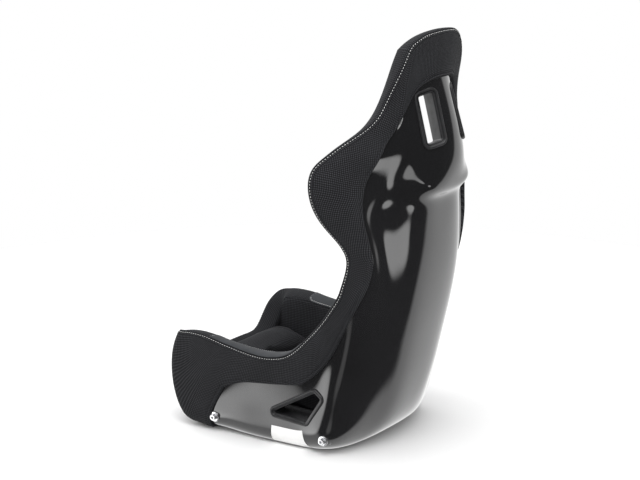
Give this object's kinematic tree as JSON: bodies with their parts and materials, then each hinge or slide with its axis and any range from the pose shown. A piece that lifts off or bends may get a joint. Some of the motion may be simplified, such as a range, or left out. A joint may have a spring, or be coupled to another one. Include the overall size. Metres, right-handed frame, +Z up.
{
  "type": "racing bucket seat",
  "caption": "Fixed-back racing bucket seat: glossy moulded shell with fabric-covered rim, head and thigh bolsters, loose cushions, belt slot surrounds and side-mount bolts.",
  "frame": {"origin": "on the flat underside, on the centre plane, midway between the front and rear side bolts", "axes": "+Z up, +Y to the back of the seat, +X to the occupant's left; the seat faces -Y"},
  "size_m": [0.563, 0.6235, 0.9167],
  "materials": {
    "gelcoat": "glossy black gelcoat over glass-fibre laminate",
    "fabric_weave": "matt black woven fire-retardant fabric over thin foam",
    "fabric_pad": "matt black woven fabric over bonded foam",
    "fabric_cushion": "black woven cushion fabric with sewn channels",
    "foam": "dark open-cell foam",
    "leatherette": "smooth dark grey leatherette, fine grain",
    "bezel_plastic": "fine-textured black moulded plastic",
    "plate_steel": "rolled steel plate",
    "zinc_steel": "bright zinc-plated steel",
    "label_film": "blank white adhesive label film"
  },
  "bodies": {
    "root": {"shell": "gelcoat", "side_cover_left": "fabric_weave", "side_cover_right": "fabric_weave", "front_apron": "fabric_weave", "head_back_cover": "fabric_weave", "edge_roll_left": "fabric_weave", "edge_roll_right": "fabric_weave", "front_edge_roll": "fabric_weave", "head_edge_roll": "fabric_weave", "thigh_pad_left": "fabric_pad", "thigh_pad_right": "fabric_pad", "hip_pad_left": "fabric_pad", "hip_pad_right": "fabric_pad", "shoulder_pad_left": "fabric_pad", "shoulder_pad_right": "fabric_pad", "head_wing_pad_left": "fabric_pad", "head_wing_pad_right": "fabric_pad", "front_wall_pad": "fabric_pad", "back_liner": "fabric_pad", "neck_pad": "fabric_pad", "base_foam": "foam", "seat_squab": "fabric_cushion", "leg_support_cushion": "fabric_cushion", "lumbar_cushion": "fabric_cushion", "back_cushion": "fabric_cushion", "head_cushion": "fabric_cushion", "wear_patch_left": "leatherette", "wear_patch_right": "leatherette", "harness_bezel_rear_left": "bezel_plastic", "harness_bezel_rear_right": "bezel_plastic", "harness_bezel_front_left": "bezel_plastic", "harness_bezel_front_right": "bezel_plastic", "lap_bezel_outer_left": "bezel_plastic", "lap_bezel_outer_right": "bezel_plastic", "lap_bezel_inner_left": "bezel_plastic", "lap_bezel_inner_right": "bezel_plastic", "crotch_bezel_base": "bezel_plastic", "crotch_bezel_top": "bezel_plastic", "mount_plate_left": "plate_steel", "mount_plate_right": "plate_steel", "captive_nuts": "zinc_steel", "mount_bolts": "zinc_steel", "mount_washers": "zinc_steel", "label": "label_film"}
  },
  "joints": []
}
